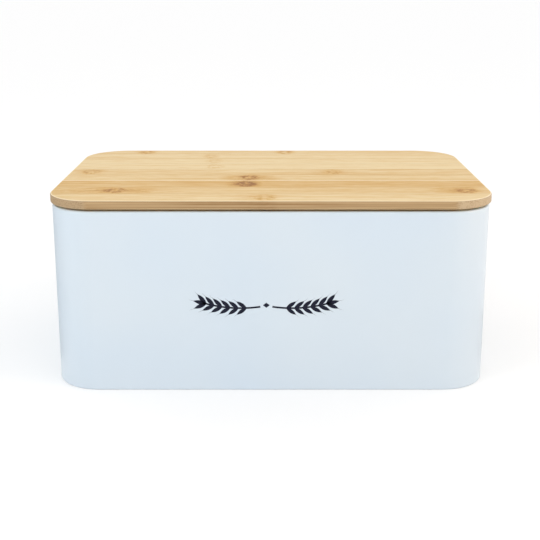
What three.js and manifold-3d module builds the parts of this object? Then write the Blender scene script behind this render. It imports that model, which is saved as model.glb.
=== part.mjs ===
// A lidded bread box: a painted sheet steel bin, closed by a bamboo board that lifts off.
// Millimetres, +Z up, +X along the box, and the front faces -Y.
// The origin is on the surface that the box stands on, under its middle.
import * as THREE from "three";
import { mergeVertices } from "three/addons/utils/BufferGeometryUtils.js";
import Module from "manifold-3d";

const wasm = await Module();
wasm.setup();

// The lid board: a flange that covers the rim, over a plug that drops inside it
const lidLength = 335;
const lidDepth = 215;
const lidCornerRadius = 36;
const lidEdgeThickness = 6.4;
const lidTopRounding = 1.2;
const lidUnderRounding = 0.6;
const plugLipHeight = 1.2;
const plugChamfer = 0.6;

// Bamboo staves, glued edge to edge from the front to the back, where the last one is ripped narrower
const staveWidth = 24.5;
const backStaveWidth = 19;
const glueLine = 0.1;

// The silicone seal, in a groove round the plug, level with the widest place of the rim's curl
const grooveDepth = 2;
const grooveHeight = 2.4;
const sealReach = 1.4;
const sealBeadHeight = 2.2;

// The wall: one sheet bent round, with a curled rim, a folded foot and a lock seam at the back
const bodyHeight = 139.8;
const sheetThickness = 0.6;
const lidOverhang = 1.25;
const rimCurlRadius = 1.5;
const rimCurlTurn = THREE.MathUtils.degToRad(290);
const footBendRadius = 0.9;
const footReturnHeight = 2.4;
const lockSeamWidth = 7;
const lockSeamFold = 1.2;

// The base: a pressed pan, its skirt held in the folded foot
const panThickness = 0.6;
const panRise = 3.6;
const panBendRadius = 1.2;
const panelStepHeight = 1.5;
const panelStepWidth = 2.5;
const panelStepInset = 20;

// Gaps between pieces that touch on the real box, and the one over the rim, where the seal holds the lid up
const clearance = 0.3;
const seatGap = 1.9;
const cutOverrun = 1;

const cornerSteps = 12;
const curlSteps = 12;
const bendSteps = 3;
const quarterTurn = Math.PI / 2;

const lidOutline = {
  length: lidLength,
  depth: lidDepth,
  radius: lidCornerRadius,
};
const bodyOutline = {
  length: lidLength - 2 * lidOverhang,
  depth: lidDepth - 2 * lidOverhang,
  radius: lidCornerRadius - lidOverhang,
};

const enamel = new THREE.MeshStandardMaterial({
  color: 0xdde6ef,
  roughness: 0.28,
  metalness: 0,
});
const silicone = new THREE.MeshStandardMaterial({
  color: 0xd9d8d2,
  roughness: 0.6,
  metalness: 0,
});
const paleBamboo = new THREE.Color(0xeccf9f);
const toastedBamboo = new THREE.Color(0xd9b478);
// How far each stave's colour goes from pale to toasted, from the front; the list repeats
const staveToneShares = [0.15, 0.6, 1, 0.5, 0.65, 0.1, 0.2, 0.35, 0.55];

// Corners of a rounded rectangle's outline, counterclockwise, moved inwards by inset.
function outlinePoints(outline, inset) {
  const radius = outline.radius - inset;
  const points = [];
  for (let corner = 0; corner < 4; corner++) {
    const sideX = corner === 0 || corner === 3 ? 1 : -1;
    const sideY = corner < 2 ? 1 : -1;
    for (let step = 0; step <= cornerSteps; step++) {
      const angle = (corner + step / cornerSteps) * quarterTurn;
      points.push([
        sideX * (outline.length / 2 - outline.radius) + radius * Math.cos(angle),
        sideY * (outline.depth / 2 - outline.radius) + radius * Math.sin(angle),
      ]);
    }
  }
  return points;
}

// A skin through one outline per profile point [inset, height]. The profile runs upwards on the outside.
// A ring's profile closes on itself; otherwise the first and last outlines are capped.
function loft(outline, profile, { ring }) {
  const around = 4 * (cornerSteps + 1);
  const positions = [];
  const index = [];
  for (const [inset, height] of profile) {
    for (const [x, y] of outlinePoints(outline, inset)) positions.push(x, y, height);
  }
  const bands = ring ? profile.length : profile.length - 1;
  for (let band = 0; band < bands; band++) {
    const low = band * around;
    const high = ((band + 1) % profile.length) * around;
    for (let i = 0; i < around; i++) {
      const j = (i + 1) % around;
      index.push(low + i, low + j, high + j, low + i, high + j, high + i);
    }
  }
  if (!ring) {
    const last = profile.length - 1;
    const under = positions.length / 3;
    positions.push(0, 0, profile[0][1], 0, 0, profile[last][1]);
    for (let i = 0; i < around; i++) {
      const j = (i + 1) % around;
      index.push(under, j, i);
      index.push(under + 1, last * around + i, last * around + j);
    }
  }
  const geometry = new THREE.BufferGeometry();
  geometry.setAttribute("position", new THREE.Float32BufferAttribute(positions, 3));
  geometry.setIndex(index);
  return geometry;
}

// Points on an arc in a profile, from one angle to another; angle 0 points inwards and a quarter turn points up.
function arc([inset, height], radius, from, to, steps) {
  return Array.from({ length: steps + 1 }, (_, step) => {
    const angle = from + ((to - from) * step) / steps;
    return [inset + radius * Math.cos(angle), height + radius * Math.sin(angle)];
  });
}

function toSolid(geometry) {
  const bare = geometry.clone();
  bare.deleteAttribute("normal");
  bare.deleteAttribute("uv");
  const merged = mergeVertices(bare);
  return new wasm.Manifold(
    new wasm.Mesh({
      numProp: 3,
      vertProperties: merged.getAttribute("position").array,
      triVerts: new Uint32Array(merged.index.array),
    }),
  );
}

function toGeometry(solid) {
  const mesh = solid.getMesh();
  const geometry = new THREE.BufferGeometry();
  geometry.setAttribute("position", new THREE.BufferAttribute(mesh.vertProperties, 3));
  geometry.setIndex(new THREE.BufferAttribute(mesh.triVerts, 1));
  return geometry;
}

function blockBetween(low, high) {
  const size = new THREE.Vector3().subVectors(high, low);
  const middle = new THREE.Vector3().addVectors(low, high).multiplyScalar(0.5);
  return toSolid(
    new THREE.BoxGeometry(size.x, size.y, size.z).translate(middle.x, middle.y, middle.z),
  );
}

function namedMesh(name, geometry, material) {
  const flat = geometry.index ? geometry.toNonIndexed() : geometry;
  flat.computeVertexNormals();
  const mesh = new THREE.Mesh(flat, material);
  mesh.name = name;
  return mesh;
}

const skirtInset = sheetThickness + clearance;
const panTop = panRise + panThickness + sheetThickness;
const footWidth = skirtInset + panThickness + clearance + sheetThickness;

// The wall's outside runs up from the foot and over the curl, and its inside runs back down into the foot's fold.
function wall() {
  const curlCentre = [rimCurlRadius, bodyHeight - rimCurlRadius];
  const curlEnd = Math.PI - rimCurlTurn;
  const footInner = footWidth - sheetThickness;
  const profile = [
    ...arc([footBendRadius, footBendRadius], footBendRadius, Math.PI + quarterTurn, Math.PI, bendSteps),
    ...arc(curlCentre, rimCurlRadius, Math.PI, curlEnd, curlSteps),
    ...arc(curlCentre, rimCurlRadius - sheetThickness, curlEnd, Math.PI, curlSteps),
    [sheetThickness, sheetThickness],
    [footInner, sheetThickness],
    [footInner, sheetThickness + footReturnHeight],
    [footWidth, sheetThickness + footReturnHeight],
    [footWidth, 0],
  ];
  const sheet = toSolid(loft(bodyOutline, profile, { ring: true }));
  const insideBack = bodyOutline.depth / 2 - sheetThickness;
  const lockSeam = blockBetween(
    new THREE.Vector3(-lockSeamWidth / 2, insideBack - lockSeamFold, panTop + clearance),
    new THREE.Vector3(
      lockSeamWidth / 2,
      insideBack + sheetThickness / 2,
      bodyHeight - 2 * rimCurlRadius - clearance,
    ),
  );
  return namedMesh("body_wall", toGeometry(sheet.add(lockSeam)), enamel);
}

// The pan's underside runs out from its middle and down its skirt, and its top runs back to the middle.
function basePan() {
  const underside = panTop - panThickness;
  const insideBend = panBendRadius - panThickness;
  const bendInset = skirtInset + panBendRadius;
  const bendHeight = panTop - panBendRadius;
  const stepOutside = skirtInset + panelStepInset;
  const stepInside = stepOutside + panelStepWidth;
  const skirtFoot = sheetThickness + clearance;
  const profile = [
    [stepInside, underside + panelStepHeight],
    [stepOutside, underside],
    ...arc([bendInset, bendHeight], insideBend, quarterTurn, Math.PI, bendSteps),
    [skirtInset + panThickness, skirtFoot],
    [skirtInset, skirtFoot],
    ...arc([bendInset, bendHeight], panBendRadius, Math.PI, quarterTurn, bendSteps),
    [stepOutside, panTop],
    [stepInside, panTop + panelStepHeight],
  ];
  return namedMesh("base_pan", loft(bodyOutline, profile, { ring: false }), enamel);
}

const flangeUnderside = bodyHeight + seatGap;
const lidTop = flangeUnderside + lidEdgeThickness;
const rimInset = lidOverhang + 2 * rimCurlRadius;
const beadInset = rimInset + clearance;
const plugInset = beadInset + sealReach;
const grooveMiddle = bodyHeight - rimCurlRadius;
const grooveTop = grooveMiddle + grooveHeight / 2;
const grooveBottom = grooveMiddle - grooveHeight / 2;
const plugBottom = grooveBottom - plugLipHeight;

function lidStaves() {
  const board = toSolid(
    loft(
      lidOutline,
      [
        [plugInset + plugChamfer, plugBottom],
        [plugInset, plugBottom + plugChamfer],
        [plugInset, grooveBottom],
        [plugInset + grooveDepth, grooveBottom],
        [plugInset + grooveDepth, grooveTop],
        [plugInset, grooveTop],
        [plugInset, flangeUnderside],
        ...arc(
          [lidUnderRounding, flangeUnderside + lidUnderRounding],
          lidUnderRounding,
          Math.PI + quarterTurn,
          Math.PI,
          bendSteps,
        ),
        ...arc([lidTopRounding, lidTop - lidTopRounding], lidTopRounding, Math.PI, quarterTurn, bendSteps),
      ],
      { ring: false },
    ),
  );
  const fullStaves = Math.round((lidDepth - backStaveWidth) / staveWidth);
  const pitch = (lidDepth - backStaveWidth) / fullStaves;
  return Array.from({ length: fullStaves + 1 }, (_, n) => {
    const front = -lidDepth / 2 + n * pitch;
    const isFirst = n === 0;
    const isLast = n === fullStaves;
    const slab = blockBetween(
      new THREE.Vector3(
        -lidLength / 2 - cutOverrun,
        isFirst ? front - cutOverrun : front + glueLine / 2,
        plugBottom - cutOverrun,
      ),
      new THREE.Vector3(
        lidLength / 2 + cutOverrun,
        isLast ? lidDepth / 2 + cutOverrun : front + pitch - glueLine / 2,
        lidTop + cutOverrun,
      ),
    );
    const tone = staveToneShares[n % staveToneShares.length];
    const bamboo = new THREE.MeshStandardMaterial({
      color: paleBamboo.clone().lerp(toastedBamboo, tone),
      roughness: 0.5,
      metalness: 0,
    });
    return namedMesh(`lid_stave_${n + 1}`, toGeometry(board.intersect(slab)), bamboo);
  });
}

// The seal's root fills the groove, and its round bead stands out to the rim.
function lidSeal() {
  const rootInset = plugInset + grooveDepth - clearance;
  const rootHalf = grooveHeight / 2 - clearance;
  const beadHalf = sealBeadHeight / 2;
  const neckInset = plugInset - clearance;
  const bead = Array.from({ length: 2 * bendSteps + 1 }, (_, step) => {
    const angle = -quarterTurn + (step / bendSteps) * quarterTurn;
    return [
      neckInset - (neckInset - beadInset) * Math.cos(angle),
      grooveMiddle + beadHalf * Math.sin(angle),
    ];
  });
  const profile = [
    [rootInset, grooveMiddle - rootHalf],
    [neckInset, grooveMiddle - rootHalf],
    ...bead,
    [neckInset, grooveMiddle + rootHalf],
    [rootInset, grooveMiddle + rootHalf],
  ];
  return namedMesh("lid_seal", loft(lidOutline, profile, { ring: true }), silicone);
}

const body = new THREE.Group();
body.add(wall(), basePan());

const lid = new THREE.Group();
lid.add(...lidStaves(), lidSeal());

const breadBox = new THREE.Group();
breadBox.add(body, lid);

export default breadBox;
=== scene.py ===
# %% [markdown]
# A bread box: a bin of painted sheet steel, closed by a board of glued bamboo staves that lifts off. The
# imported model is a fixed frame. It says where each piece is and how large, and this script gives the looks.
# So the frame is loaded first, and its box is kept to compare with the dressed box at the end.

# %% Load the frame
import math

import bmesh
import bpy
from mathutils import Matrix, Vector


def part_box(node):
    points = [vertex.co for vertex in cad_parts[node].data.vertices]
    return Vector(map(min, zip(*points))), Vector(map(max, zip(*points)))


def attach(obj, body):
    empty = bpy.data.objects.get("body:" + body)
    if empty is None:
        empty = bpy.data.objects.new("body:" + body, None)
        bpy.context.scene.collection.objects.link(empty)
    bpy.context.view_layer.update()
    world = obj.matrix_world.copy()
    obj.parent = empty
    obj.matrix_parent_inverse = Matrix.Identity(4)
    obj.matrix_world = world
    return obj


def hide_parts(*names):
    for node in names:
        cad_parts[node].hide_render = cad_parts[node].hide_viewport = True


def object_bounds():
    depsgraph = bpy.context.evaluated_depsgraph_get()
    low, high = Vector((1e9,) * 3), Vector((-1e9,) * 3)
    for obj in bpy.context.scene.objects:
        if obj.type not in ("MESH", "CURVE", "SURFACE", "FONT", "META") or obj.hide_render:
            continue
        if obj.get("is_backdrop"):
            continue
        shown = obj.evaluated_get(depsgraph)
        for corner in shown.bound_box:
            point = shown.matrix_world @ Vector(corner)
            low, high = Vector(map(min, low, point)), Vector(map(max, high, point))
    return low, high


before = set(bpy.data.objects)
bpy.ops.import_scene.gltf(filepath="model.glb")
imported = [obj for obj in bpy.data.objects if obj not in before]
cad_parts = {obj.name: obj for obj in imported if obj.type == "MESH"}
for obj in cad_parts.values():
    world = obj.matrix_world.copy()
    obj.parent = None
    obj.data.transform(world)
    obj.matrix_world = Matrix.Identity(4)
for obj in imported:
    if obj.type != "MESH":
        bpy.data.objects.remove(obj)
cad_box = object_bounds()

# %% [markdown]
# Blender counts in metres and a maker counts in millimetres, so the sizes of the box below are numbers
# times MM. The outer sizes are read from the frame, never typed, so the looks follow when the model
# changes. The lid is glued from staves, and its outline is the box round all of them. A box doesn't tell
# how round its corners are, so that radius is typed, as the model has it.

# %% Read the sizes
MM = 0.001
stave_nodes = [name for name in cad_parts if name.startswith("lid_stave_")]
stave_nodes.sort(key=lambda name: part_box(name)[0].y)
wall_low, wall_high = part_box("body_wall")
pan_low, pan_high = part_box("base_pan")
seal_low, seal_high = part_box("lid_seal")
lid_low = Vector(map(min, *(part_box(name)[0] for name in stave_nodes)))
lid_high = Vector(map(max, *(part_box(name)[1] for name in stave_nodes)))
lid_size = lid_high - lid_low
wall_size = wall_high - wall_low
LID_CORNER = 36 * MM
wall_corner = LID_CORNER - (lid_high.x - wall_high.x)
print(f"lid {lid_size.x / MM:.1f} x {lid_size.y / MM:.1f} mm in {len(stave_nodes)} staves, "
      f"wall {wall_size.x / MM:.1f} x {wall_size.y / MM:.1f} x {wall_size.z / MM:.1f} mm")

# %% [markdown]
# Node trees grow long when every node is placed, set and linked by hand. One function adds a node, gives it
# its settings and fills its sockets, with a value or with a link. Settings that are used often have names.
# Colours are picked as sRGB hex, as in any paint program, and Blender's sockets want them linear.

# %% Helpers for nodes and colours
COLOUR = {"data_type": "RGBA"}
SMOOTH = {"interpolation_type": "SMOOTHSTEP"}
TIMES = {"operation": "MULTIPLY"}
TIMES_PLUS = {"operation": "MULTIPLY_ADD"}


def fill(tree, node, sockets):
    """Fills sockets, each named or numbered, with a value, or with a link from a node or a socket."""
    for key, value in sockets.items():
        if isinstance(value, bpy.types.Node):
            value = value.outputs[0]
        if isinstance(value, bpy.types.NodeSocket):
            tree.links.new(value, node.inputs[key])
        else:
            node.inputs[key].default_value = value


def add(tree, kind, settings=None, sockets=None):
    """Adds a node with its settings, and fills its sockets."""
    node = tree.nodes.new(kind)
    for name, value in (settings or {}).items():
        setattr(node, name, value)
    fill(tree, node, sockets or {})
    return node


def linear(hex_code):
    """An sRGB hex colour as the linear numbers that a colour socket takes."""
    shares = [int(hex_code[i:i + 2], 16) / 255 for i in (0, 2, 4)]
    return [s / 12.92 if s <= 0.04045 else ((s + 0.055) / 1.055) ** 2.4 for s in shares] + [1.0]


def fill_ramp(ramp, stops):
    """Sets a colour ramp's stops, given in order as pairs of a place and a colour."""
    while len(ramp.elements) < len(stops):
        ramp.elements.new(0.5)
    for element, (place, colour) in zip(ramp.elements, stops):
        element.position = place
        element.color = colour


def new_material(name):
    """An empty material with a Principled shader on its output."""
    material = bpy.data.materials.new(name)
    material.use_nodes = True
    tree = material.node_tree
    tree.nodes.clear()
    shader = add(tree, "ShaderNodeBsdfPrincipled")
    add(tree, "ShaderNodeOutputMaterial", None, {"Surface": shader})
    return material, tree, shader


print("white in linear numbers:", linear("ffffff")[:3])

# %% [markdown]
# The bin is mild steel sheet with a gloss powder coat, which is a thermoset resin, baked on and not
# metallic. Powder flows out as it melts, so it keeps a faint orange peel, some ten micrometres high and 2
# mm from crest to crest. The thin sheet under it is never quite flat either, which bends a reflection
# softly over about a hand's width. Both are bumps in the shader, because they are far too low to change the
# outline.

# %% Powder coat
COAT_TINTS = ("bbc9d6", "c5ced4")
COAT_ROUGHNESS = (0.29, 0.35)
COAT_IOR = 1.5
ORANGE_PEEL_PITCH = 2.2 * MM
ORANGE_PEEL_HEIGHT = 0.01 * MM
SHEET_WAVE_PITCH = 85 * MM
SHEET_WAVE_HEIGHT = 0.5 * MM


def powder_coat():
    """Gloss powder coat, pale blue-white: resin over steel."""
    material, tree, shader = new_material("gloss_powder_coat")
    place = add(tree, "ShaderNodeTexCoord").outputs["Object"]
    wave = add(tree, "ShaderNodeTexNoise", None,
               {"Vector": place, "Scale": 1 / SHEET_WAVE_PITCH, "Detail": 1.0})
    tint = add(tree, "ShaderNodeMix", COLOUR, {0: wave, 6: linear(COAT_TINTS[0]), 7: linear(COAT_TINTS[1])})
    peel = add(tree, "ShaderNodeTexNoise", None,
               {"Vector": place, "Scale": 1 / ORANGE_PEEL_PITCH, "Detail": 1.0})
    bend = add(tree, "ShaderNodeBump", None, {"Distance": SHEET_WAVE_HEIGHT, "Height": wave})
    skin = add(tree, "ShaderNodeBump", None,
               {"Distance": ORANGE_PEEL_HEIGHT, "Height": peel, "Normal": bend})
    gloss = add(tree, "ShaderNodeMapRange", None,
                {"Value": peel, "To Min": COAT_ROUGHNESS[0], "To Max": COAT_ROUGHNESS[1]})
    fill(tree, shader, {"Base Color": tint.outputs[2], "Roughness": gloss, "Normal": skin, "IOR": COAT_IOR})
    return material


coat = powder_coat()
print("made", coat.name)

# %% [markdown]
# The lid seal is translucent silicone rubber, natural white and moulded, with a soft satin skin that holds
# a little dust. Light enters it and comes out a millimetre away, so a small subsurface share softens its
# edges.

# %% Silicone
SILICONE_TINTS = ("dcdbd5", "cfcec6")
SILICONE_ROUGHNESS = (0.42, 0.58)
SILICONE_REST = {"IOR": 1.41, "Subsurface Weight": 0.3, "Subsurface Scale": 1 * MM}
DUST_PITCH = 6 * MM


def mottled(name, pitch, detail, tints, roughness, rest):
    """A material whose tint and roughness follow one soft noise. The rest of its sockets come with values."""
    material, tree, shader = new_material(name)
    place = add(tree, "ShaderNodeTexCoord").outputs["Object"]
    noise = add(tree, "ShaderNodeTexNoise", None, {"Vector": place, "Scale": 1 / pitch, "Detail": detail})
    tint = add(tree, "ShaderNodeMix", COLOUR, {0: noise, 6: linear(tints[0]), 7: linear(tints[1])})
    satin = add(tree, "ShaderNodeMapRange", None,
                {"Value": noise, "To Min": roughness[0], "To Max": roughness[1]})
    fill(tree, shader, {"Base Color": tint.outputs[2], "Roughness": satin, **rest})
    return material


rubber = mottled("moulded_silicone", DUST_PITCH, 3.0, SILICONE_TINTS, SILICONE_ROUGHNESS, SILICONE_REST)
print("made", rubber.name)

# %% [markdown]
# The print is pad-printed ink: one opaque dark layer of blue-black resin that dries slightly duller than
# the coat round it. A pad leaves a faintly mottled film, so its tint and roughness vary over a few
# millimetres.

# %% Printing ink
INK_TINTS = ("101222", "171a2c")
INK_ROUGHNESS = (0.38, 0.5)
INK_REST = {"Specular IOR Level": 0.15}
INK_PITCH = 3 * MM

ink = mottled("pad_print_ink", INK_PITCH, 2.0, INK_TINTS, INK_ROUGHNESS, INK_REST)
print("made", ink.name)

# %% [markdown]
# The staves are bamboo strips, laid flat, glued, planed, sanded and oiled. Each has its own tone, from pale
# to toasted. On the top the fibres run along X, so a noise is stretched along X: a streak is some forty
# times as long as wide. Real fibre bundles are 0.3 to 0.6 mm wide. At this distance that is under a pixel,
# so they are drawn 1.3 mm wide. Three such noises are added up: broad bands, streaks and single fibres.
# Their sum says how toasted a point is.

# %% Bamboo grain
BAND_LENGTH = 420 * MM
BAND_WIDTH = 8 * MM
BAND_GAIN = 0.9
STREAK_LENGTH = 85 * MM
STREAK_WIDTH = 2.0 * MM
STREAK_GAIN = 1.2
FIBRE_LENGTH = 14 * MM
FIBRE_WIDTH = 1.3 * MM
FIBRE_GAIN = 1.3
FIBRE_FALLOFF = 0.55
STAVE_SHIFT = Vector((7.31, 4.17, 2.53))   # any uneven step serves


def grain(tree, place, number, length, width, detail):
    """Noise stretched along the fibres. Each stave reads another part of it."""
    shifted = add(tree, "ShaderNodeMapping", None,
                  {"Vector": place, "Location": STAVE_SHIFT * number,
                   "Scale": (1 / length, 1 / width, 1 / width)})
    return add(tree, "ShaderNodeTexNoise", None,
               {"Vector": shifted, "Scale": 1.0, "Detail": detail, "Roughness": FIBRE_FALLOFF})


print("a streak is", round(STREAK_LENGTH / STREAK_WIDTH), "times as long as it is wide")

# %% [markdown]
# A bamboo culm has a node every 20 to 35 cm, which the code calls a knot. There the fibres bend and cross,
# and the heat of drying scorches them. A node shows as a smudge that is darkest at the knot and frays out
# along the fibres, further to one side than to the other. Its core is blotched, and in the middle of the
# core lies a small, paler eye. Smudge, core and eye are spherical gradients, squeezed by a Mapping node to
# the length and width of each. The coordinates are shaken by a noise first, so that no two nodes look
# alike. A streaky noise frays the smudge, and a noise of 3 mm blotches the core.

# %% Bamboo nodes
SHAKE = 4.5 * MM
SHAKE_PITCH = 6 * MM
SMUDGE_WIDTH = 17 * MM
CORE = (10 * MM, 13 * MM)
CORE_EASE = 0.6
CORE_GAIN = 0.9
EYE = (4 * MM, 7 * MM)
EYE_EASE = 0.7
EYE_SCORCH = 0.4
FRAY_LENGTH = 22 * MM
FRAY_WIDTH = 1.5 * MM
FRAY_NOISE = (0.36, 0.66)
FRAY_LEAST = 0.15
BLOTCH_PITCH = 3 * MM
BLOTCH_NOISE = (0.4, 0.6)


def shaken(tree, place, amount):
    """The coordinates, moved at random by up to about half the amount."""
    noise = add(tree, "ShaderNodeTexNoise", None, {"Vector": place, "Scale": 1 / SHAKE_PITCH, "Detail": 2.0})
    way = add(tree, "ShaderNodeVectorMath", {"operation": "SUBTRACT"},
              {0: noise.outputs["Color"], 1: (0.5,) * 3})
    step = add(tree, "ShaderNodeVectorMath", {"operation": "SCALE"}, {0: way, "Scale": amount})
    return add(tree, "ShaderNodeVectorMath", {"operation": "ADD"}, {0: place, 1: step})


def spot(tree, place, centre, reach):
    """A value that falls from 1 at the centre to 0 at the edge of an ellipse on the board's top."""
    squeezed = add(tree, "ShaderNodeMapping", {"vector_type": "TEXTURE"},
                   {"Vector": place, "Location": (*centre, lid_high.z), "Scale": (*reach, 1.0)})
    gradient = add(tree, "ShaderNodeTexGradient", {"gradient_type": "SPHERICAL"}, {"Vector": squeezed})
    return gradient.outputs["Fac"]


def scorch(tree, place, number, middle_y, knots):
    """How scorched a point is. A knot is (X in mm, strength, its reach in mm to the left and right)."""
    loose = shaken(tree, place, SHAKE)
    along = add(tree, "ShaderNodeSeparateXYZ", None, {0: loose}).outputs["X"]
    fray = add(tree, "ShaderNodeMapRange", None,
               {"Value": grain(tree, loose, number, FRAY_LENGTH, FRAY_WIDTH, 2.0),
                "From Min": FRAY_NOISE[0], "From Max": FRAY_NOISE[1], "To Min": FRAY_LEAST})
    noise = add(tree, "ShaderNodeTexNoise", None, {"Vector": loose, "Scale": 1 / BLOTCH_PITCH, "Detail": 1.0})
    blotch = add(tree, "ShaderNodeMapRange", None,
                 {"Value": noise, "From Min": BLOTCH_NOISE[0], "From Max": BLOTCH_NOISE[1]})
    total = 0.0
    for knot_x, strength, left, right in knots:
        centre = (knot_x * MM, middle_y)
        is_right = add(tree, "ShaderNodeMath", {"operation": "GREATER_THAN"}, {0: along, 1: knot_x * MM})
        to_left = spot(tree, loose, centre, (left * MM, SMUDGE_WIDTH))
        to_right = spot(tree, loose, centre, (right * MM, SMUDGE_WIDTH))
        smudge = add(tree, "ShaderNodeMix", {"data_type": "FLOAT"}, {0: is_right, 2: to_left, 3: to_right})
        core = add(tree, "ShaderNodeMapRange", SMOOTH,
                   {"Value": spot(tree, loose, centre, CORE), "From Max": CORE_EASE, "To Max": CORE_GAIN})
        eye = add(tree, "ShaderNodeMapRange", SMOOTH,
                  {"Value": spot(tree, loose, centre, EYE), "From Max": EYE_EASE,
                   "To Min": 1.0, "To Max": EYE_SCORCH})
        blotched = add(tree, "ShaderNodeMath", TIMES, {0: core, 1: blotch})
        mark = add(tree, "ShaderNodeMath", TIMES_PLUS, {0: smudge, 1: fray, 2: blotched})
        open_eyed = add(tree, "ShaderNodeMath", TIMES, {0: mark, 1: eye})
        total = add(tree, "ShaderNodeMath", TIMES_PLUS, {0: open_eyed, 1: strength, 2: total})
    return total


print("a node's core is", 2 * CORE[0] / MM, "mm long, and its eye", 2 * EYE[0] / MM, "mm")

# %% [markdown]
# On the flat top the fibres lie open. How toasted a point is picks its colour from four tones, from pale
# wood to scorched fibre. The noises vary round 0.5, so half of their gains is taken off first, and the
# stave keeps the tone that it is given. One stave has a line of pale outer fibre along its front side.

# %% Bamboo on the flat top
TONES = ("dec799", "c89c52", "a06b1e", "8a5810")
# Pale outer fibre on one stave, and also the painted highlight on the arris.
PALE_FIBRE_AND_HIGHLIGHT_TONE = "f0dfbe"
PALE_LINE_WIDTH = 3.6 * MM
SCORCH_GAIN = 1.7


def top_colour(tree, axes, noises, burnt, tone, front_y, pale_line):
    """The flat top's colour. The noises come as pairs of a noise and its gain."""
    depth = tone - sum(gain for noise, gain in noises) / 2
    for noise, gain in noises:
        depth = add(tree, "ShaderNodeMath", TIMES_PLUS, {0: noise, 1: gain, 2: depth})
    depth = add(tree, "ShaderNodeMath", TIMES_PLUS, {0: burnt, 1: SCORCH_GAIN, 2: depth})
    share = add(tree, "ShaderNodeMath", {"operation": "DIVIDE"}, {0: depth, 1: len(TONES) - 1})
    toasted = add(tree, "ShaderNodeValToRGB", None, {"Fac": share})
    stops = [(step / (len(TONES) - 1), linear(hex_code)) for step, hex_code in enumerate(TONES)]
    fill_ramp(toasted.color_ramp, stops)
    near = add(tree, "ShaderNodeMapRange", SMOOTH,
               {"Value": axes.outputs["Y"], "From Min": front_y, "From Max": front_y + PALE_LINE_WIDTH,
                "To Min": pale_line, "To Max": 0.0})
    clear = add(tree, "ShaderNodeMath", {"operation": "SUBTRACT", "use_clamp": True}, {0: near, 1: burnt})
    lined = add(tree, "ShaderNodeMix", COLOUR, {0: clear, 6: toasted, 7: linear(PALE_FIBRE_AND_HIGHLIGHT_TONE)})
    return lined.outputs[2]


print("tones from pale to scorched:", ", ".join(TONES))

# %% [markdown]
# On the long edges the same fibres are seen from the side, darker, in thin layers. At the ends and round
# the corners they are cut across and show as dark dots in paler wood. Those are 0.5 mm apart, and are drawn
# 1.3 mm apart to be seen. The ends are painted darker towards the left, as painted shade.

# %% Bamboo on the edges and ends
EDGE_TONES = ("b0956f", "8a6a44")
EDGE_SCORCH_GAIN = 0.7
LAYER_WIDTH = 0.9 * MM
LAYER_LENGTH = 120 * MM
LAYER_NOISE = (0.34, 0.72)
END_TONES = ("b59f80", "967d5c")
# The left end's tones are darker: painted shade.
SHADED_END_TONES = ("a48c6c", "896f50")
DOT_PITCH = 1.3 * MM
DOT_EDGE = (0.15, 0.5)
DOT_DEPTH = 0.8


def edge_colour(tree, place, number, burnt):
    """The long edges' colour: layers of fibre, darker where a node is scorched."""
    layers = grain(tree, place, number, LAYER_LENGTH, LAYER_WIDTH, 2.0)
    layered = add(tree, "ShaderNodeMath", TIMES_PLUS, {0: burnt, 1: EDGE_SCORCH_GAIN, 2: layers})
    depth = add(tree, "ShaderNodeMapRange", None,
                {"Value": layered, "From Min": LAYER_NOISE[0], "From Max": LAYER_NOISE[1]})
    edge = add(tree, "ShaderNodeMix", COLOUR, {0: depth, 6: linear(EDGE_TONES[0]), 7: linear(EDGE_TONES[1])})
    return edge.outputs[2]


def end_colour(tree, place, axes):
    """The ends' colour: dots of cut fibre on pale wood, with painted shade that darkens it towards the left
    end.
    """
    bundles = add(tree, "ShaderNodeTexVoronoi", None, {"Vector": place, "Scale": 1 / DOT_PITCH})
    dots = add(tree, "ShaderNodeMapRange", None,
               {"Value": bundles.outputs["Distance"], "From Min": DOT_EDGE[0], "From Max": DOT_EDGE[1],
                "To Min": DOT_DEPTH, "To Max": 0.0})
    # Painted shade: the left end gets the darker tones, blended into the plain ones towards the right.
    plain_end, shaded_end = [add(tree, "ShaderNodeMix", COLOUR, {0: dots, 6: linear(wood), 7: linear(fibre)})
                  for wood, fibre in (END_TONES, SHADED_END_TONES)]
    rightwards = add(tree, "ShaderNodeMapRange", None,
                     {"Value": axes.outputs["X"], "From Min": lid_low.x, "From Max": lid_high.x})
    end = add(tree, "ShaderNodeMix", COLOUR, {0: rightwards, 6: shaded_end.outputs[2], 7: plain_end.outputs[2]})
    return end.outputs[2]


print("fibre dots on the end grain", DOT_PITCH / MM, "mm apart")

# %% [markdown]
# The object's own normal tells the shader which face of the stave it is on: the top, a long edge or an end.
# Three pairs of numbers say how much of the normal lies along X or Z where one face gives way to the next.
# The arris between the top and the sides is painted pale: partly sanded wood, partly a painted highlight
# where the eased edge catches the light. Round a node the fibres swirl, because there the noise is read at
# shaken coordinates. The oil leaves a satin skin, a little duller along the fibres, which also stand up by
# some hundredths of a millimetre.

# %% Bamboo
SWIRL = 9 * MM
FIBRE_RELIEF = 0.03 * MM
BAMBOO_ROUGHNESS = (0.42, 0.6)
BAMBOO_IOR = 1.47
BAMBOO_SPECULAR = 0.2
END_NORMAL = (0.06, 0.2)
# Where the painted highlight on the arris lies, by how upright the normal is.
ARRIS_HIGHLIGHT_NORMAL = (0.6, 0.9)
FLAT_NORMAL = (0.96, 0.995)


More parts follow.
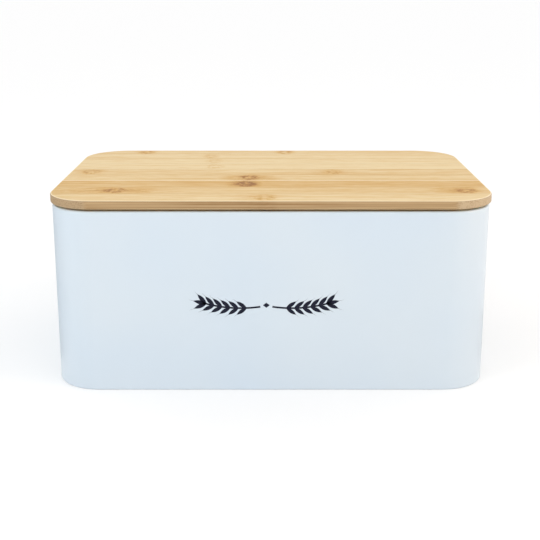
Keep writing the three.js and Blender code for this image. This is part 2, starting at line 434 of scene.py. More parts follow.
def bamboo(number, front_y, middle_y, tone, pale_line, knots):
    """One stave's oiled bamboo, with its own tone, the pale line at its front side, and its knots."""
    material, tree, shader = new_material(f"oiled_bamboo_{number}")
    coordinates = add(tree, "ShaderNodeTexCoord")
    place = coordinates.outputs["Object"]
    axes = add(tree, "ShaderNodeSeparateXYZ", None, {0: place})
    burnt = scorch(tree, place, number, middle_y, knots)
    swirl = add(tree, "ShaderNodeMath", TIMES, {0: burnt, 1: SWIRL})
    swirled = shaken(tree, place, swirl.outputs[0])
    bands = grain(tree, place, number, BAND_LENGTH, BAND_WIDTH, 1.0)
    streaks = grain(tree, swirled, number, STREAK_LENGTH, STREAK_WIDTH, 2.0)
    fibres = grain(tree, swirled, number, FIBRE_LENGTH, FIBRE_WIDTH, 3.0)
    noises = ((bands, BAND_GAIN), (streaks, STREAK_GAIN), (fibres, FIBRE_GAIN))
    top = top_colour(tree, axes, noises, burnt, tone, front_y, pale_line)
    edge = edge_colour(tree, place, number, burnt)
    end = end_colour(tree, place, axes)
    facing = add(tree, "ShaderNodeSeparateXYZ", None, {0: coordinates.outputs["Normal"]})
    endwise = add(tree, "ShaderNodeMath", {"operation": "ABSOLUTE"}, {0: facing.outputs["X"]})
    upright = add(tree, "ShaderNodeMath", {"operation": "ABSOLUTE"}, {0: facing.outputs["Z"]})
    is_end, arris_highlight, is_flat = [
        add(tree, "ShaderNodeMapRange", SMOOTH, {"Value": share, "From Min": low, "From Max": high})
        for share, (low, high) in ((endwise, END_NORMAL), (upright, ARRIS_HIGHLIGHT_NORMAL), (upright, FLAT_NORMAL))]
    side = add(tree, "ShaderNodeMix", COLOUR, {0: is_end, 6: edge, 7: end})
    # Painted highlight: the arris is painted pale, partly as sanded wood.
    eased = add(tree, "ShaderNodeMix", COLOUR, {0: arris_highlight, 6: side.outputs[2], 7: linear(PALE_FIBRE_AND_HIGHLIGHT_TONE)})
    colour = add(tree, "ShaderNodeMix", COLOUR, {0: is_flat, 6: eased.outputs[2], 7: top})
    relief = add(tree, "ShaderNodeBump", None, {"Distance": FIBRE_RELIEF, "Height": fibres})
    satin = add(tree, "ShaderNodeMapRange", None,
                {"Value": fibres, "To Min": BAMBOO_ROUGHNESS[0], "To Max": BAMBOO_ROUGHNESS[1]})
    fill(tree, shader, {"Base Color": colour.outputs[2], "Roughness": satin, "Normal": relief,
                        "IOR": BAMBOO_IOR, "Specular IOR Level": BAMBOO_SPECULAR})
    return material


print("the fibres stand up by", FIBRE_RELIEF / MM, "mm")

# %% [markdown]
# The wall, the base, the board and the seal all have the same plan: a rectangle with round corners. Each is
# one section swept round that plan, as a joiner's router runs round a board. A Geometry Nodes tree holds
# the rule. The object's own mesh is the section, and the plan comes from named sizes. The section is drawn
# as (inset from the plan, height), so one plan serves pieces that lie inside each other. The path is
# resampled evenly, so the long faces stay flat right up to the corners when they are shaded smooth.

# %% The sweeping tree
def new_tree(name, inputs, output):
    """An empty Geometry Nodes tree, and its inputs, which are listed as pairs of a name and a kind."""
    tree = bpy.data.node_groups.new(name, "GeometryNodeTree")
    for socket, kind in inputs:
        tree.interface.new_socket(socket, in_out="INPUT", socket_type="NodeSocket" + kind)
    tree.interface.new_socket(output, in_out="OUTPUT", socket_type="NodeSocketGeometry")
    return tree, add(tree, "NodeGroupInput").outputs


def end_tree(tree, given, made, output):
    """Ends a tree: what was made becomes one real mesh with the given material."""
    real = add(tree, "GeometryNodeRealizeInstances", None, {"Geometry": made})
    dressed = add(tree, "GeometryNodeSetMaterial", None, {"Geometry": real, "Material": given["Material"]})
    add(tree, "NodeGroupOutput", None, {output: dressed})


def sweep_tree():
    """A tree that sweeps its own mesh, a section, round a rectangle with round corners."""
    tree, given = new_tree("sweep_round_plan", (
        ("Section", "Geometry"), ("Length", "Float"), ("Depth", "Float"), ("Corner Radius", "Float"),
        ("Path Step", "Float"), ("Corner Steps", "Int"), ("Material", "Material")), "Piece")
    plan = add(tree, "GeometryNodeCurvePrimitiveQuadrilateral", None,
               {"Width": given["Length"], "Height": given["Depth"]})
    rounded = add(tree, "GeometryNodeFilletCurve", {"mode": "POLY"},
                  {"Curve": plan, "Count": given["Corner Steps"], "Radius": given["Corner Radius"]})
    path = add(tree, "GeometryNodeResampleCurve", {"mode": "LENGTH"},
               {"Curve": rounded, "Length": given["Path Step"]})
    level = add(tree, "GeometryNodeSetCurveNormal", {"mode": "Z_UP"}, {"Curve": path})
    section = add(tree, "GeometryNodeMeshToCurve", None, {"Mesh": given["Section"]})
    shell = add(tree, "GeometryNodeCurveToMesh", None, {"Curve": level, "Profile Curve": section})
    end_tree(tree, given, shell, "Piece")
    return tree


round_plan = sweep_tree()
print("tree:", round_plan.name, "with", len(round_plan.nodes), "nodes")

# %% [markdown]
# A modifier's inputs are set by each socket's identifier, because names may repeat. The evaluated object is
# then turned into a plain mesh, and the modifier goes, so that nothing waits to be evaluated. Sweeping can
# turn a shape inside out. The signed volume tells, and the faces are flipped if it is negative.

# %% Helpers for pieces
PATH_STEP = 2.5 * MM
CORNER_STEPS = 48
SHARP_ANGLE = math.radians(35)
BEND_HOLD = 0.6 * MM
QUARTER = math.pi / 2   # a quarter turn


def new_piece(name, mesh):
    """An object at the origin, in the scene."""
    piece = bpy.data.objects.new(name, mesh)
    bpy.context.scene.collection.objects.link(piece)
    return piece


def run_tree(piece, tree, values):
    """Gives the piece what the tree makes, as a plain mesh."""
    modifier = piece.modifiers.new("made", "NODES")
    modifier.node_group = tree
    for item in tree.interface.items_tree:
        if item.item_type == "SOCKET" and item.in_out == "INPUT" and item.name in values:
            modifier[item.identifier] = values[item.name]
    graph = bpy.context.evaluated_depsgraph_get()
    mesh = bpy.data.meshes.new_from_object(piece.evaluated_get(graph), depsgraph=graph)
    piece.modifiers.remove(modifier)
    piece.data = mesh


def edit(mesh, change):
    """Runs a change on the mesh as a bmesh, and turns its faces outwards."""
    bm = bmesh.new()
    bm.from_mesh(mesh)
    change(bm)
    if bm.calc_volume(signed=True) < 0:
        bmesh.ops.reverse_faces(bm, faces=bm.faces)
    bm.to_mesh(mesh)
    bm.free()


def close_holes(bm):
    """Closes each open edge loop with one flat face. With sides=0 it may have any number of edges."""
    rims = [edge for edge in bm.edges if edge.is_boundary]
    if rims:
        bmesh.ops.holes_fill(bm, edges=rims, sides=0)


def shade(mesh):
    """Smooth shading, with the folds and cut edges kept sharp."""
    mesh.shade_smooth()
    mesh.set_sharp_from_angle(angle=SHARP_ANGLE)
    mesh.update()


def arc(centre, radius, start, turn, steps):
    """Points of a section's arc. Angle 0 points inwards and a quarter turn up, and turn may be negative."""
    angles = [start + turn * step / steps for step in range(steps + 1)]
    return [(centre[0] + radius * math.cos(angle), centre[1] + radius * math.sin(angle)) for angle in angles]


def run_up(inset, low, high, step):
    """Points of an upright stretch of a section, with one close to each end to keep the bend tight."""
    count = max(2, round(abs(high - low) / step))
    hold = math.copysign(BEND_HOLD, high - low)
    between = [low + (high - low) * n / count for n in range(1, count)]
    return [(inset, z) for z in (low, low + hold, *between, high - hold, high)]


def swept(name, section, size, corner, material, closed):
    """A piece swept round a plan of that size. Its section's X points outwards there, and its Y down."""
    mesh = bpy.data.meshes.new(name)
    points = [(-inset, -height, 0) for inset, height in section]
    edges = [(n, n + 1) for n in range(len(points) - 1)]
    if closed:
        edges.append((len(points) - 1, 0))
    mesh.from_pydata(points, edges, [])
    piece = new_piece(name, mesh)
    run_tree(piece, round_plan, {"Length": size.x, "Depth": size.y, "Corner Radius": corner,
                                 "Corner Steps": CORNER_STEPS, "Path Step": PATH_STEP, "Material": material})
    edit(piece.data, close_holes)
    shade(piece.data)
    return piece


print("path step", PATH_STEP / MM, "mm, corners in", CORNER_STEPS, "steps")

# %% [markdown]
# The wall is one strip of sheet steel. Its top edge is rolled inwards into a curl, which stiffens it and
# hides the cut edge, and its foot is folded inwards into a channel that holds the base. So the section is
# one long line: up the outside, round the curl, back down the inside and round the foot.

# %% Steel wall
SHEET = 0.6 * MM
CURL_RADIUS = 1.5 * MM
CURL_TURN = math.radians(290)
CURL_STEPS = 26
FOOT_RADIUS = 0.9 * MM
FOOT_WIDTH = 2.4 * MM
FOOT_RETURN = 2.4 * MM
BEND_STEPS = 6
WALL_STEP = 12 * MM


def wall_section():
    """The wall's section, clockwise as seen with the inside of the bin to the right."""
    top = wall_size.z
    curl = (CURL_RADIUS, top - CURL_RADIUS)
    foot = (FOOT_RADIUS, FOOT_RADIUS)
    inner = FOOT_RADIUS - SHEET
    return [
        *arc(foot, FOOT_RADIUS, -QUARTER, -QUARTER, BEND_STEPS)[:-1],
        *run_up(0, FOOT_RADIUS, top - CURL_RADIUS, WALL_STEP),
        *arc(curl, CURL_RADIUS, math.pi, -CURL_TURN, CURL_STEPS)[1:],
        *arc(curl, CURL_RADIUS - SHEET, math.pi - CURL_TURN, CURL_TURN, CURL_STEPS)[:-1],
        *run_up(SHEET, top - CURL_RADIUS, FOOT_RADIUS, WALL_STEP),
        *arc(foot, inner, math.pi, QUARTER, BEND_STEPS)[1:],
        (FOOT_WIDTH - SHEET, SHEET),
        (FOOT_WIDTH - SHEET, SHEET + FOOT_RETURN),
        (FOOT_WIDTH, SHEET + FOOT_RETURN),
        (FOOT_WIDTH, 0),
    ]


steel_wall = swept("steel_wall", wall_section(), wall_size, wall_corner, coat, closed=True)
print("wall:", len(steel_wall.data.polygons), "faces from a section of", len(wall_section()), "points")

# %% [markdown]
# The strip is closed into a ring by a lock seam at the back: both ends are folded, hooked together and
# pressed. Outside that leaves a fine groove, and inside a low band. The swept mesh has no edges there to
# move, so a few planes cut new edges into its back, and then the points between them are pushed inwards.

# %% Lock seam
SEAM_WIDTH = 7 * MM
SEAM_FOLD = 1.2 * MM
SEAM_RAMP = 0.5 * MM
GROOVE_WIDTH = 0.9 * MM
GROOVE_DEPTH = 0.35 * MM
TOUCH = 0.01 * MM   # how near counts as on a face


def near_seam(point):
    """Whether a point is in the back of the wall, around the seam."""
    return point.y > wall_high.y - 2 * SHEET and abs(point.x) < 2 * SEAM_WIDTH


def cut_planes(bm, normal, places, chosen):
    """Cuts edges into the chosen part of the mesh where planes with that normal cross it."""
    for place in places:
        faces = [face for face in bm.faces if chosen(face.calc_center_median())]
        edges = {edge for face in faces for edge in face.edges}
        points = {point for face in faces for point in face.verts}
        bmesh.ops.bisect_plane(bm, geom=[*faces, *edges, *points], plane_co=normal * place, plane_no=normal)


def press_seam(bm):
    """Presses the groove outside and the band inside into the middle of the wall's back."""
    back = wall_high.y
    band_low = pan_high.z + SEAM_RAMP
    band_high = wall_high.z - 2 * CURL_RADIUS - SEAM_RAMP
    side = SEAM_WIDTH / 2
    groove = GROOVE_WIDTH / 2
    across = (-side - SEAM_RAMP, -side, side - groove, side, side + groove, side + SEAM_RAMP + groove)
    upwards = (band_low, band_low + SEAM_RAMP, band_high - SEAM_RAMP, band_high)
    cut_planes(bm, Vector((1, 0, 0)), across, near_seam)
    cut_planes(bm, Vector((0, 0, 1)), upwards, near_seam)
    for vertex in bm.verts:
        x, y, z = vertex.co
        if band_low < z < band_high and abs(y - (back - SHEET)) < TOUCH and abs(x) < side + TOUCH:
            vertex.co.y -= SEAM_FOLD
        if band_low < z < band_high and abs(y - back) < TOUCH and abs(x - side) < TOUCH:
            vertex.co.y -= GROOVE_DEPTH


edit(steel_wall.data, press_seam)
shade(steel_wall.data)
print("lock seam", SEAM_WIDTH / MM, "mm wide, wall now", len(steel_wall.data.polygons), "faces")

# %% [markdown]
# The base is a pressed steel pan. Its skirt stands in the folded foot, and a raised panel stiffens its
# floor. The section runs out under the floor and down the skirt, then back up and in over the top, and both
# ends of it are closed by one flat face each, the underside and the top of the raised panel.

# %% Base pan
SKIRT_INSET = 0.9 * MM
PAN_BEND = 1.2 * MM
PANEL_INSET = 20 * MM
PANEL_STEP = 2.5 * MM
PANEL_RISE = 1.5 * MM
PANEL_EASE = 0.6 * MM
PANEL_LIP = 0.18 * MM


def pan_section():
    """The pan's section, from the panel's underside out round the skirt and back to the panel's top."""
    panel_top = pan_high.z
    floor_top = panel_top - PANEL_RISE
    bend = (SKIRT_INSET + PAN_BEND, floor_top - PAN_BEND)
    outer = SKIRT_INSET + PANEL_INSET
    inner = outer + PANEL_STEP
    top = [*arc(bend, PAN_BEND, math.pi, -QUARTER, BEND_STEPS),
           (bend[0] + PANEL_EASE, floor_top),
           (outer - PANEL_EASE, floor_top),
           (outer, floor_top + PANEL_LIP),
           (inner, panel_top - PANEL_LIP),
           (inner + PANEL_EASE, panel_top),
           (inner + 2 * PANEL_EASE, panel_top)]
    under = [(inset, height - SHEET) for inset, height in reversed(top[BEND_STEPS + 1:])]
    return [*under,
            *arc(bend, PAN_BEND - SHEET, QUARTER, QUARTER, BEND_STEPS),
            (SKIRT_INSET + SHEET, pan_low.z),
            (SKIRT_INSET, pan_low.z),
            *top]


steel_pan = swept("steel_pan", pan_section(), wall_size, wall_corner, coat, closed=False)
print("base pan:", len(steel_pan.data.polygons), "faces")

# %% [markdown]
# The board is milled after gluing: a flange that covers the rim, and under it a plug with a groove for the
# seal. It is swept once as a whole, then sliced into its staves, so that the rounded edges run on from
# stave to stave. Each slice is cut by a plane at each glue line, and its top arris is eased by a second,
# sloping cut, which leaves the fine lines between the staves.

# %% Bamboo board
LID_TOP_ROUND = 1.2 * MM
TOP_STEPS = 8
LID_UNDER_ROUND = 0.6 * MM
UNDER_STEPS = 5
LID_EDGE = 6.4 * MM
SEAL_REACH = 1.4 * MM
PLUG_CHAMFER = 0.6 * MM
SEAL_GROOVE_HEIGHT = 2.4 * MM
SEAL_GROOVE_DEPTH = 2.0 * MM
EASE = 0.3 * MM   # from a bend to the next point on the flat
plug_inset = seal_low.x - lid_low.x + SEAL_REACH


def board_section():
    """The board's section, from the edge of its underside out and up to the edge of its top."""
    flange = lid_high.z - LID_EDGE
    groove_low = (seal_low.z + seal_high.z - SEAL_GROOVE_HEIGHT) / 2
    groove_top = groove_low + SEAL_GROOVE_HEIGHT
    groove_back = plug_inset + SEAL_GROOVE_DEPTH
    return [
        (plug_inset + PLUG_CHAMFER + EASE, lid_low.z),
        (plug_inset + PLUG_CHAMFER, lid_low.z),
        (plug_inset, lid_low.z + PLUG_CHAMFER),
        (plug_inset, groove_low),
        (groove_back, groove_low),
        (groove_back, groove_top),
        (plug_inset, groove_top),
        (plug_inset, flange),
        (LID_UNDER_ROUND + EASE, flange),
        *arc((LID_UNDER_ROUND, flange + LID_UNDER_ROUND), LID_UNDER_ROUND, -QUARTER, -QUARTER, UNDER_STEPS),
        (0, flange + LID_UNDER_ROUND + EASE),
        (0, lid_high.z - LID_TOP_ROUND - EASE),
        *arc((LID_TOP_ROUND, lid_high.z - LID_TOP_ROUND), LID_TOP_ROUND, math.pi, -QUARTER, TOP_STEPS),
        (LID_TOP_ROUND + EASE, lid_high.z),
    ]


board = swept("board", board_section(), lid_size, LID_CORNER, None, closed=False)
print("board:", len(board.data.polygons), "faces before it is sliced")

# %% [markdown]
# What makes each stave different is what nature gave it: how toasted it is, and where its nodes fall. Both
# are listed from the front stave to the back one. A bright seam of outer fibre runs along one glue line.

# %% Bamboo staves
ARRIS = 0.16 * MM
STAVES = [   # (how toasted, its pale line's strength, its knots)
    (0.24, 0.0, [(-4, 0.5, 30, 14)]),
    (0.44, 0.0, [(-119, 0.9, 56, 48), (149, 0.8, 30, 14)]),
    (0.73, 0.0, [(-19, 1.5, 18, 13)]),
    (0.48, 0.85, [(-18, 1.0, 26, 28)]),
    (0.43, 0.0, [(-150, 0.5, 18, 16), (52, 0.4, 26, 14)]),
    (0.12, 0.0, [(-48, 0.3, 9, 11)]),
    (0.16, 0.0, [(-50, 0.25, 10, 8)]),
    (0.32, 0.0, [(-54, 0.25, 9, 9)]),
    (0.42, 0.0, [(-115, 0.5, 14, 14), (13, 0.5, 14, 12)]),
]


def cut(bm, point, normal):
    """Cuts away what lies beyond the plane, and closes the cut."""
    parts = [*bm.verts, *bm.edges, *bm.faces]
    bmesh.ops.bisect_plane(bm, geom=parts, plane_co=point, plane_no=normal, clear_outer=True)
    close_holes(bm)


def slice_stave(bm, front, back):
    """Leaves the stave between two glue lines, given as None at the board's own edges."""
    for place, way in ((front, -1), (back, 1)):
        if place is not None:
            cut(bm, Vector((0, place, 0)), Vector((0, way, 0)))
            cut(bm, Vector((0, place - way * ARRIS, lid_high.z)), Vector((0, way, 1)).normalized())


staves = []
for number, (node, (tone, pale_line, knots)) in enumerate(zip(stave_nodes, STAVES), 1):
    low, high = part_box(node)
    front = None if number == 1 else low.y
    back = None if number == len(stave_nodes) else high.y
    stave = new_piece(f"bamboo_stave_{number}", board.data.copy())
    edit(stave.data, lambda bm: slice_stave(bm, front, back))
    stave.data.materials.clear()
    stave.data.materials.append(bamboo(number, low.y, (low.y + high.y) / 2, tone, pale_line, knots))
    shade(stave.data)
    staves.append(stave)
bpy.data.objects.remove(board)
print(len(staves), "staves,", sum(len(stave.data.polygons) for stave in staves), "faces")

# %% [markdown]
# The seal is one moulded ring. A flat root sits in the board's groove, and a round bead stands out to the
# rim. It runs round the same plan as the board, so the same tree sweeps it.

# %% Silicone seal
ROOT_GAP = 0.3 * MM
ROOT_INSET = plug_inset + SEAL_GROOVE_DEPTH - ROOT_GAP
ROOT_HALF = 0.9 * MM
NECK_OUT = 0.3 * MM
NECK_INSET = plug_inset - NECK_OUT
BEAD_STEPS = 14


def seal_section():
    """The seal's section: the root's inner end, the neck, and the bead as half an ellipse."""
    middle = (seal_low.z + seal_high.z) / 2
    half = (seal_high.z - seal_low.z) / 2
    reach = NECK_INSET - (seal_low.x - lid_low.x)
    bead = arc((0, 0), 1, -QUARTER, math.pi, BEAD_STEPS)
    return [(ROOT_INSET, middle - ROOT_HALF), (NECK_INSET, middle - ROOT_HALF),
            *[(NECK_INSET - reach * x, middle + half * z) for x, z in bead],
            (NECK_INSET, middle + ROOT_HALF), (ROOT_INSET, middle + ROOT_HALF)]


seal = swept("silicone_seal", seal_section(), lid_size, LID_CORNER, rubber, closed=True)
print("seal:", len(seal.data.polygons), "faces")

# %% [markdown]
# The front carries a small print: two ears of wheat, one to each side, with a lozenge between them. An ear
# is a rule, so Geometry Nodes draw it: a bowed stem, and grains in pairs along its outer part. The object's
# own mesh is one grain with its awn. The tree sets it in pairs along the stem, turned to the stem's
# direction and splayed to both sides, and once more at the tip. The print is a film 0.03 mm thick.

# %% The wheat tree
STEM_STEPS = 40


def wheat_tree():
    """A tree that sets its own mesh, a grain, in pairs along a bowed stem."""
    tree, given = new_tree("ear_of_wheat", (
        ("Grain", "Geometry"), ("Stem Start", "Vector"), ("Stem Middle", "Vector"), ("Stem End", "Vector"),
        ("Stem Width", "Float"), ("Film", "Float"), ("Bare Share", "Float"), ("Splay", "Float"),
        ("First Size", "Float"), ("Last Size", "Float"), ("Pairs", "Int"), ("Material", "Material")), "Ear")
    bow = add(tree, "GeometryNodeCurveQuadraticBezier", None,
              {"Resolution": STEM_STEPS, "Start": given["Stem Start"], "Middle": given["Stem Middle"],
               "End": given["Stem End"]})
    level = add(tree, "GeometryNodeSetCurveNormal", {"mode": "Z_UP"}, {"Curve": bow})
    strip = add(tree, "GeometryNodeCurvePrimitiveQuadrilateral", None,
                {"Width": given["Stem Width"], "Height": given["Film"]})
    stem = add(tree, "GeometryNodeCurveToMesh", None,
               {"Curve": level, "Profile Curve": strip, "Fill Caps": True})
    outer = add(tree, "GeometryNodeTrimCurve", None, {"Curve": level, 2: given["Bare Share"], 3: 1.0})
    seats = add(tree, "GeometryNodeResampleCurve", None, {"Curve": outer, "Count": given["Pairs"]})
    heading = add(tree, "FunctionNodeAlignRotationToVector", {"axis": "X", "pivot_axis": "Z"},
                  {"Vector": add(tree, "GeometryNodeInputTangent")})
    size = add(tree, "ShaderNodeMapRange", None,
               {"Value": add(tree, "GeometryNodeSplineParameter"), "To Min": given["First Size"],
                "To Max": given["Last Size"]})
    parts = [stem]
    for side in (-1, 1):
        angle = add(tree, "ShaderNodeMath", TIMES, {0: given["Splay"], 1: side})
        splay = add(tree, "FunctionNodeAxisAngleToRotation", None, {"Axis": (0, 0, 1), "Angle": angle})
        turned = add(tree, "FunctionNodeRotateRotation", None, {"Rotation": heading, "Rotate By": splay})
        parts.append(add(tree, "GeometryNodeInstanceOnPoints", None,
                         {"Points": seats, "Instance": given["Grain"], "Rotation": turned, "Scale": size}))
    tip = add(tree, "GeometryNodeCurveEndpointSelection", None, {"Start Size": 0, "End Size": 1})
    parts.append(add(tree, "GeometryNodeInstanceOnPoints", None,
                     {"Points": seats, "Selection": tip, "Instance": given["Grain"], "Rotation": heading,
                      "Scale": size}))
    joined = add(tree, "GeometryNodeJoinGeometry")
    for part in reversed(parts):
        fill(tree, joined, {0: part})
    end_tree(tree, given, joined, "Ear")
    return tree


wheat = wheat_tree()
print("tree:", wheat.name, "with", len(wheat.nodes), "nodes")

# %% [markdown]
# A grain is drawn by its half width along its length: a swelling body, then an awn that thins to a point.
# Both halves of the outline come from that one formula, and the outline is given the film's thickness. A
# lozenge is the same kind of film. The flat print is then stood up, with Y turned to Z, and laid on the
# wall.

# %% Wheat print
FILM = 0.03 * MM
GRAIN_START = -0.8 * MM
GRAIN_LENGTH = 11.5 * MM
GRAIN_WIDTH = 3.5 * MM
GRAIN_FULLNESS = 0.85
AWN_LENGTH = 4.5 * MM
AWN_WIDTH = 0.8 * MM
GRAIN_STEPS = 22
STEM_WIDTH = 1.4 * MM
STEM_POINTS = [(4.5 * MM, -1.2 * MM), (25 * MM, -4.2 * MM), (45 * MM, 1.2 * MM)]
GRAIN_PAIRS = 6
GRAIN_SIZES = (0.82, 0.9)
BARE_SHARE = 0.26
SPLAY = math.radians(36)
PRINT_X = -3.4 * MM
PRINT_Z = 68.0 * MM
LOZENGE = (2.6 * MM, 2.0 * MM)
FILM_OUT = 0.4 * FILM   # the middle of the film, so that its back is sunk a little


def film(name, outline):
    """A closed film over a flat outline, half its thickness above and half below the plane."""
    mesh = bpy.data.meshes.new(name)
    count = len(outline)
    points = [(x, y, z) for z in (-FILM / 2, FILM / 2) for x, y in outline]
    faces = [list(range(count))[::-1], list(range(count, 2 * count))]
    faces += [(n, (n + 1) % count, count + (n + 1) % count, count + n) for n in range(count)]
    mesh.from_pydata(points, [], faces)
    return mesh


def grain_outline():
    """The grain's outline, from its root along one side to the awn's tip and back."""
    half = []
    for step in range(1, GRAIN_STEPS):
        share = step / GRAIN_STEPS
        along = share * (GRAIN_LENGTH + AWN_LENGTH)
        swell = math.sin(math.pi * min(1.0, along / GRAIN_LENGTH))
        body = swell ** GRAIN_FULLNESS * GRAIN_WIDTH / 2
        awn = AWN_WIDTH / 2 * (1 - share)
        half.append((GRAIN_START + along, max(body, awn)))
    tip = (GRAIN_START + GRAIN_LENGTH + AWN_LENGTH, 0)
    return [(GRAIN_START, 0), *[(x, -y) for x, y in half], tip, *reversed(half)]


def wheat_print():
    """Both ears and the lozenge as one piece of film on the front of the wall."""
    prints = []
    for way in (1, -1):
        ear = new_piece("ear", film("ear", grain_outline()))
        start, middle, end = [(way * x, y, 0) for x, y in STEM_POINTS]
        run_tree(ear, wheat, {"Stem Start": start, "Stem Middle": middle, "Stem End": end,
                              "Stem Width": STEM_WIDTH, "Film": FILM, "Bare Share": BARE_SHARE,
                              "Pairs": GRAIN_PAIRS, "Splay": SPLAY, "First Size": GRAIN_SIZES[0],
                              "Last Size": GRAIN_SIZES[1], "Material": ink})
        prints.append(ear)
    reach, rise = LOZENGE
    prints.append(new_piece("lozenge", film("lozenge", [(-reach, 0), (0, -rise), (reach, 0), (0, rise)])))
    bm = bmesh.new()
    for part in prints:
        bm.from_mesh(part.data)
        bpy.data.objects.remove(part)
    stand_up = Matrix.Rotation(QUARTER, 4, "X")
    lay_on = Matrix.Translation((PRINT_X, wall_low.y - FILM_OUT, PRINT_Z))
    bmesh.ops.transform(bm, matrix=lay_on @ stand_up, verts=bm.verts)
    mesh = bpy.data.meshes.new("wheat_print")
    bm.to_mesh(mesh)
    bm.free()
    mesh.materials.append(ink)
    return new_piece("wheat_print", mesh)


ears = wheat_print()
shade(ears.data)
ears_x = [point.co.x for point in ears.data.vertices]
ears_z = [point.co.z for point in ears.data.vertices]
print(f"print {(max(ears_x) - min(ears_x)) / MM:.1f} x {(max(ears_z) - min(ears_z)) / MM:.1f} mm, "
      f"{len(ears.data.polygons)} faces")

# %% [markdown]
# Each piece rides on the body that carries it and stands for its CAD node. The print is extra: it replaces
# nothing.

# %% Bind the pieces to the frame
for piece, node in ((steel_wall, "body_wall"), (steel_pan, "base_pan")):
    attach(piece, "bin")
    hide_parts(node)
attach(ears, "bin")
for piece, node in zip(staves, stave_nodes):
    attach(piece, "lid")
    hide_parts(node)
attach(seal, "lid")
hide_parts("lid_seal")
print("riding on the lid:", len(staves) + 1, "pieces")

# %% [markdown]
# The floor is a plain pale sheet, wide enough to reach past the top of the picture. It isn't part of the
# box.

# %% Floor
FLOOR_REACH = 60.0
FLOOR_DROP = 0.02 * MM
PAPER_WHITE = "f8f8f8"
PAPER_ROUGHNESS = 0.9


def floor_sheet():
    """A square of matt white paper, a hair under the foot."""
    mesh = bpy.data.meshes.new("floor")
    corners = [(-FLOOR_REACH, -FLOOR_REACH), (FLOOR_REACH, -FLOOR_REACH),
               (FLOOR_REACH, FLOOR_REACH), (-FLOOR_REACH, FLOOR_REACH)]
    mesh.from_pydata([(x, y, -FLOOR_DROP) for x, y in corners], [], [(0, 1, 2, 3)])
    material, tree, shader = new_material("matt_white_paper")
    fill(tree, shader, {"Base Color": linear(PAPER_WHITE), "Roughness": PAPER_ROUGHNESS,
                        "Specular IOR Level": 0.0})
    mesh.materials.append(material)
    return new_piece("floor", mesh)


floor = floor_sheet()
floor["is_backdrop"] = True
print("floor", 2 * FLOOR_REACH, "m wide")

# %% [markdown]
# The light is a white tent, with lamps round it that shine through its walls. The world stands for its
# walls, as a ramp whose stops are (the sine of the angle up, the share of the strength). They are as bright
# as the floor at the horizon, so that the two meet without a line, twice as bright some 37 degrees up, and
# dark straight overhead. That lights the top of the front a little more than its foot. A softbox in front
# and one to the left fill the front and the left corner, and a warm one lights the right corner. An area
# lamp's watts spread over the square of the distance, so near ones need only a few watts.

# %% Light
TENT_STRENGTH = 2.0
TENT_STOPS = [(0.0, 0.5), (0.15, 0.475), (0.35, 0.44), (0.6, 1.0), (0.85, 0.375), (1.0, 0.0)]
SOFTBOXES = [   # (name, place in m, side in m, power in W, colour)
    ("front_softbox", (0, -1.05, 0.52), 0.28, 0.67, "ffffff"),
    ("left_softbox", (-0.9, -0.75, 0.55), 0.5, 2.2, "ffffff"),
    ("right_softbox", (1.4, -0.5, 0.5), 0.8, 6.0, "ffe6ce"),
]
LAMPS_AIM = Vector((0, 0, 80 * MM))


def softbox(name, place, side, power, colour):
    """A square lamp that shines at the middle of the box."""
    data = bpy.data.lights.new(name, "AREA")
    data.size = side
    data.energy = power
    data.color = linear(colour)[:3]
    made = new_piece(name, data)
    made.location = place
    made.rotation_mode = "QUATERNION"
    made.rotation_quaternion = (LAMPS_AIM - Vector(place)).to_track_quat("-Z", "Y")


for lamp in SOFTBOXES:
    softbox(*lamp)
world = bpy.data.worlds.new("white_tent")
world.use_nodes = True
tent = world.node_tree
direction = add(tent, "ShaderNodeTexCoord").outputs["Generated"]
upwards = add(tent, "ShaderNodeSeparateXYZ", None, {0: direction})
walls = add(tent, "ShaderNodeValToRGB", None, {"Fac": upwards.outputs["Z"]})
fill_ramp(walls.color_ramp, [(rise, (share, share, share, 1)) for rise, share in TENT_STOPS])
fill(tent, tent.nodes["Background"], {"Color": walls, "Strength": TENT_STRENGTH})
bpy.context.scene.world = world
bpy.context.scene.view_settings.view_transform = "Standard"
print("lamps:", ", ".join(lamp[0] for lamp in SOFTBOXES))

# %% [markdown]
# White on white has no edge, so photographers stand a grey card close to each side of the thing. At the
# outline the coat is seen at a flat angle and mirrors strongly, and what it mirrors there is the card. The
# left card is tall and darkens that edge from top to foot. The right one is low and pale, and leaves the
# top light. A card here is seen in reflections alone. It lights nothing and shades nothing, and no camera
# sees it directly.

# %% Edge cards
CARD_ENDS = [(3 * MM, 75 * MM), (75 * MM, 5 * MM)]   # (out from the side wall, back from the front wall)
EDGE_CARDS = [   # (name, side, height, colour)
    ("left_edge_card", -1, 200 * MM, "b0b0b0"),
    ("right_edge_card", 1, 42 * MM, "d4d4d4"),
]


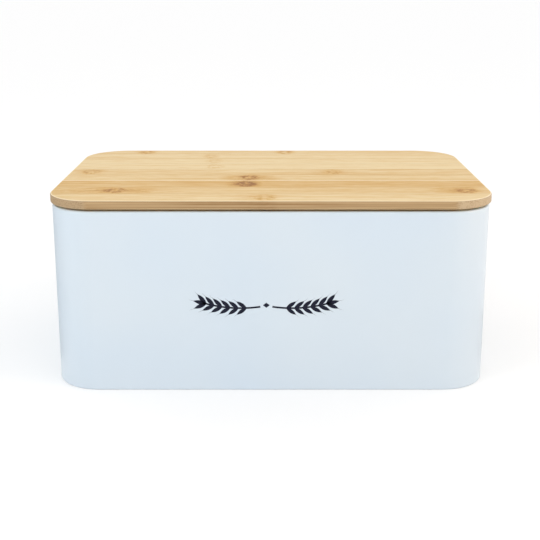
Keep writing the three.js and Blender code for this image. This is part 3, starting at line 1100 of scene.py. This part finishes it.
def edge_card(name, side, height, colour):
    """A card that stands on the floor aslant beside a front corner of the bin, clear of its side wall."""
    ends = [(side * (wall_high.x + out), wall_low.y + back) for out, back in CARD_ENDS]
    corners = [(x, y, z) for z in (0, height) for x, y in ends]
    mesh = bpy.data.meshes.new(name)
    mesh.from_pydata(corners, [], [(0, 1, 3, 2)])
    material, tree, shader = new_material(name + "_board")
    fill(tree, shader, {"Base Color": linear(colour), "Roughness": PAPER_ROUGHNESS})
    mesh.materials.append(material)
    card = new_piece(name, mesh)
    card.visible_camera = False
    card.visible_diffuse = False
    card.visible_transmission = False
    card.visible_shadow = False
    return card


for name, side, height, colour in EDGE_CARDS:
    edge_card(name, side, height, colour)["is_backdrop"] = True
print("edge cards", [(name, height / MM) for name, side, height, colour in EDGE_CARDS])

# %% [markdown]
# The camera stands where the photographer's did. Its focal length, distance and height come from fitting
# the outline of the box in the photograph, whose frame is 540 pixels wide. The middle of the lens lies a
# little above the middle of that frame, as in a picture that was cropped, so a small shift puts it there.

# %% Camera
FRAME_PIXELS = 540
FOCAL_PIXELS = 973.1
OPTICAL_CENTRE = (270.9, 221.4)
AIM_HEIGHT = 106.1 * MM
DISTANCE = 820.9 * MM
TILT = math.radians(13.98)
SENSOR_WIDTH = 36   # in mm, as a lens's focal length is

camera_data = bpy.data.cameras.new("camera")
camera_data.sensor_width = SENSOR_WIDTH
camera_data.lens = FOCAL_PIXELS / FRAME_PIXELS * SENSOR_WIDTH
camera_data.shift_x = (FRAME_PIXELS / 2 - OPTICAL_CENTRE[0]) / FRAME_PIXELS
camera_data.shift_y = (OPTICAL_CENTRE[1] - FRAME_PIXELS / 2) / FRAME_PIXELS
camera = new_piece("camera", camera_data)
back_way = Vector((0, -math.cos(TILT), math.sin(TILT)))
camera.location = Vector((0, 0, AIM_HEIGHT)) + back_way * DISTANCE
camera.rotation_euler = (QUARTER - TILT, 0, 0)
bpy.context.scene.camera = camera
print(f"lens {camera_data.lens:.1f} mm, shift {camera_data.shift_x:.3f}, {camera_data.shift_y:.3f}")

# %% [markdown]
# Last, the dressed box is measured, and the script prints how far at most it stands outside the CAD box.

# %% Measure and finish
visual_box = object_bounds()
grown = max(max(c.x, c.y, c.z) for c in (cad_box[0] - visual_box[0], visual_box[1] - cad_box[1]))
print(f"the dressed box stands at most {grown / MM:.3f} mm outside the CAD box")
